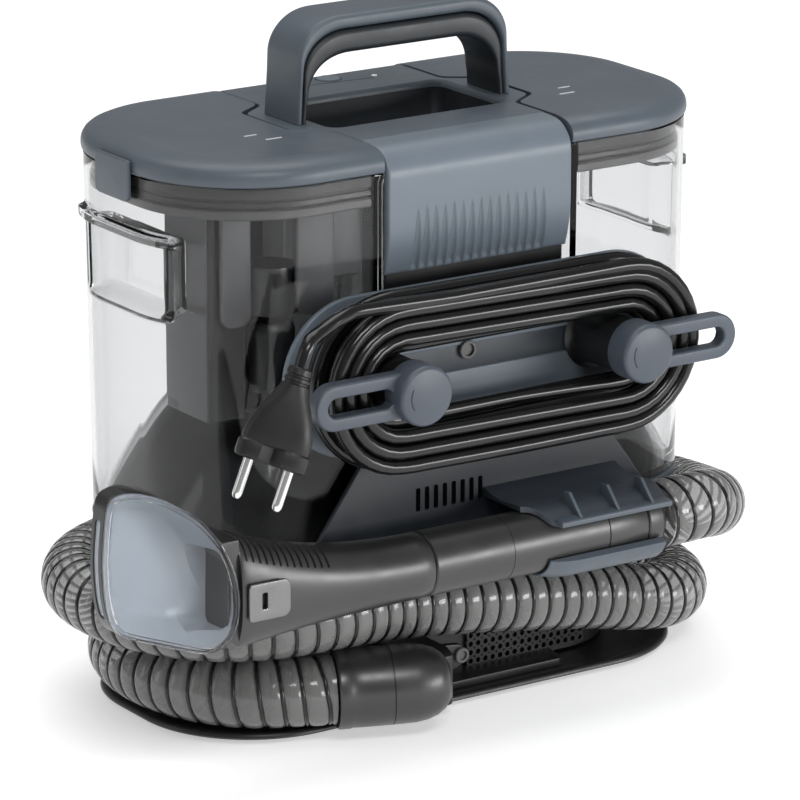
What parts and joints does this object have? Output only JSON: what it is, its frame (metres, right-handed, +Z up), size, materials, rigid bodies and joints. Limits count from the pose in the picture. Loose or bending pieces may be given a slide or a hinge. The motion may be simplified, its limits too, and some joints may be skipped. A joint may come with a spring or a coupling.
{
  "type": "carpet cleaner machine",
  "caption": "Compact carpet spot cleaner with lift-off clear tanks, carry handle, swivelling cord hooks, a wound power cord, and a ribbed hose wrapped round its waist to a docked wand.",
  "frame": {"origin": "on the floor under the middle of the machine", "axes": "+Z up, +X along the machine towards the clean water tank, and the side with the cord and the wand faces -Y"},
  "size_m": [0.4208, 0.2397, 0.3335],
  "materials": {
    "slate_plastic": "fine moulded texture, satin",
    "dark_slate_plastic": "satin",
    "black_plastic": "satin black",
    "satin_black": "satin black, soft highlights",
    "foot_rubber": "soft rubber",
    "cord_rubber": "glossy flexible sheath",
    "clear_plastic": "clear polished plastic with a smoke tint",
    "grey_seal": "grey moulded rubber",
    "separator_plastic": "dark grey plastic",
    "plug_steel": "nickel plated",
    "hose_plastic": "translucent grey ribbed vinyl with a black rib",
    "latch_silver": "silver grey satin",
    "pale_slate_plastic": "pale blue grey, satin",
    "light_lens": "frosted",
    "motor_steel": "pressed steel can",
    "board": "circuit board"
  },
  "bodies": {
    "root": {"base_pan": "black_plastic", "service_plate": "black_plastic", "foot_left_near": "foot_rubber", "foot_left_far": "foot_rubber", "foot_right_near": "foot_rubber", "foot_right_far": "foot_rubber", "base_housing": "black_plastic", "intake_grille": "black_plastic", "hose_port": "black_plastic", "collar_left": "slate_plastic", "collar_right": "slate_plastic", "seat_left": "black_plastic", "seat_right": "black_plastic", "spine_tower": "black_plastic", "rear_panel": "slate_plastic", "front_panel": "slate_plastic", "top_deck": "slate_plastic", "power_light": "light_lens", "handle_shell": "slate_plastic", "handle_grip": "dark_slate_plastic", "lower_panel": "slate_plastic", "cord_backplate": "slate_plastic", "hook_post_left": "slate_plastic", "hook_post_right": "slate_plastic", "cord_gland": "cord_rubber", "power_cord_coil": "cord_rubber", "plug_body": "cord_rubber", "plug_pin_left": "plug_steel", "plug_pin_right": "plug_steel", "power_cord_tail": "cord_rubber", "power_cord_lead": "cord_rubber", "cradle_upper": "slate_plastic", "cradle_lower": "slate_plastic", "wand_tube": "satin_black", "nozzle_body": "satin_black", "hose": "hose_plastic", "hose_cuff": "satin_black", "vacuum_motor": "motor_steel", "water_pump": "black_plastic", "circuit_board": "board"},
    "button": {"power_button": "dark_slate_plastic"},
    "dirty_tank_body": {"dirty_tank": "clear_plastic"},
    "dirty_lid_body": {"dirty_tank_lid": "slate_plastic", "dirty_tank_seal": "grey_seal", "separator": "separator_plastic"},
    "dirty_latch_body": {"dirty_tank_latch": "slate_plastic"},
    "float_body": {"float": "separator_plastic"},
    "clean_tank_body": {"clean_tank": "clear_plastic"},
    "clean_valve_body": {"clean_valve": "black_plastic"},
    "clean_lid_body": {"clean_tank_lid": "slate_plastic", "clean_tank_seal": "grey_seal"},
    "clean_latch_body": {"clean_tank_latch": "slate_plastic"},
    "hook_left": {"cord_hook_left": "slate_plastic"},
    "hook_right": {"cord_hook_right": "slate_plastic"},
    "nozzle_head_body": {"nozzle_head": "pale_slate_plastic", "nozzle_cover": "clear_plastic"},
    "nozzle_latch_body": {"nozzle_latch": "latch_silver"},
    "trigger_body": {"spray_trigger": "dark_slate_plastic"},
    "wand_end": {"wand_end_cuff": "satin_black"},
    "fan": {"fan_impeller": "black_plastic"}
  },
  "joints": [
    {"name": "power_button_press", "type": "slide", "parent": "root", "child": "button", "axis": [0, 0, -1], "range_m": [0, 0.0015], "stiffness_N_per_m": 300},
    {"name": "dirty_tank_lift", "type": "slide", "parent": "root", "child": "dirty_tank_body", "axis": [0, 0, 1], "range_m": [0, 0.2]},
    {"name": "dirty_lid_lift", "type": "slide", "parent": "dirty_tank_body", "child": "dirty_lid_body", "axis": [0, 0, 1], "range_m": [0, 0.14]},
    {"name": "dirty_latch_flip", "type": "hinge", "parent": "dirty_lid_body", "child": "dirty_latch_body", "pos_m": [-0.1535, 0, 0.2785], "axis": [0, 1, 0], "range_deg": [0, 20]},
    {"name": "float_rise", "type": "slide", "parent": "dirty_lid_body", "child": "float_body", "axis": [0, 0, 1], "range_m": [0, 0.03]},
    {"name": "clean_tank_lift", "type": "slide", "parent": "root", "child": "clean_tank_body", "axis": [0, 0, 1], "range_m": [0, 0.2]},
    {"name": "clean_valve_press", "type": "slide", "parent": "clean_tank_body", "child": "clean_valve_body", "axis": [0, 0, 1], "range_m": [0, 0.004], "stiffness_N_per_m": 100},
    {"name": "clean_lid_lift", "type": "slide", "parent": "clean_tank_body", "child": "clean_lid_body", "axis": [0, 0, 1], "range_m": [0, 0.08]},
    {"name": "clean_latch_flip", "type": "hinge", "parent": "clean_lid_body", "child": "clean_latch_body", "pos_m": [0.1535, 0, 0.2785], "axis": [0, -1, 0], "range_deg": [0, 20]},
    {"name": "left_hook_swivel", "type": "hinge", "parent": "root", "child": "hook_left", "pos_m": [-0.0633, -0.117, 0.1785], "axis": [0, -1, 0], "range_deg": [0, 180]},
    {"name": "right_hook_swivel", "type": "hinge", "parent": "root", "child": "hook_right", "pos_m": [0.0633, -0.117, 0.1785], "axis": [0, 1, 0], "range_deg": [0, 180]},
    {"name": "nozzle_head_pull", "type": "slide", "parent": "root", "child": "nozzle_head_body", "axis": [-1, 0, 0], "range_m": [0, 0.03]},
    {"name": "nozzle_latch_flip", "type": "hinge", "parent": "root", "child": "nozzle_latch_body", "pos_m": [-0.1392, -0.1286, 0.097], "axis": [0, 0, 1], "range_deg": [0, 15]},
    {"name": "spray_trigger_press", "type": "hinge", "parent": "root", "child": "trigger_body", "pos_m": [-0.0122, -0.0907, 0.0915], "axis": [0, 0, 1], "range_deg": [0, 3], "stiffness_Nm_per_rad": 0.2},
    {"name": "wand_end_swivel", "type": "hinge", "parent": "root", "child": "wand_end", "pos_m": [0.072, -0.11, 0.0915], "axis": [1, 0, 0], "continuous": true},
    {"name": "fan_spin", "type": "hinge", "parent": "root", "child": "fan", "pos_m": [-0.035, 0, 0.06], "axis": [0, 0, 1], "continuous": true}
  ]
}
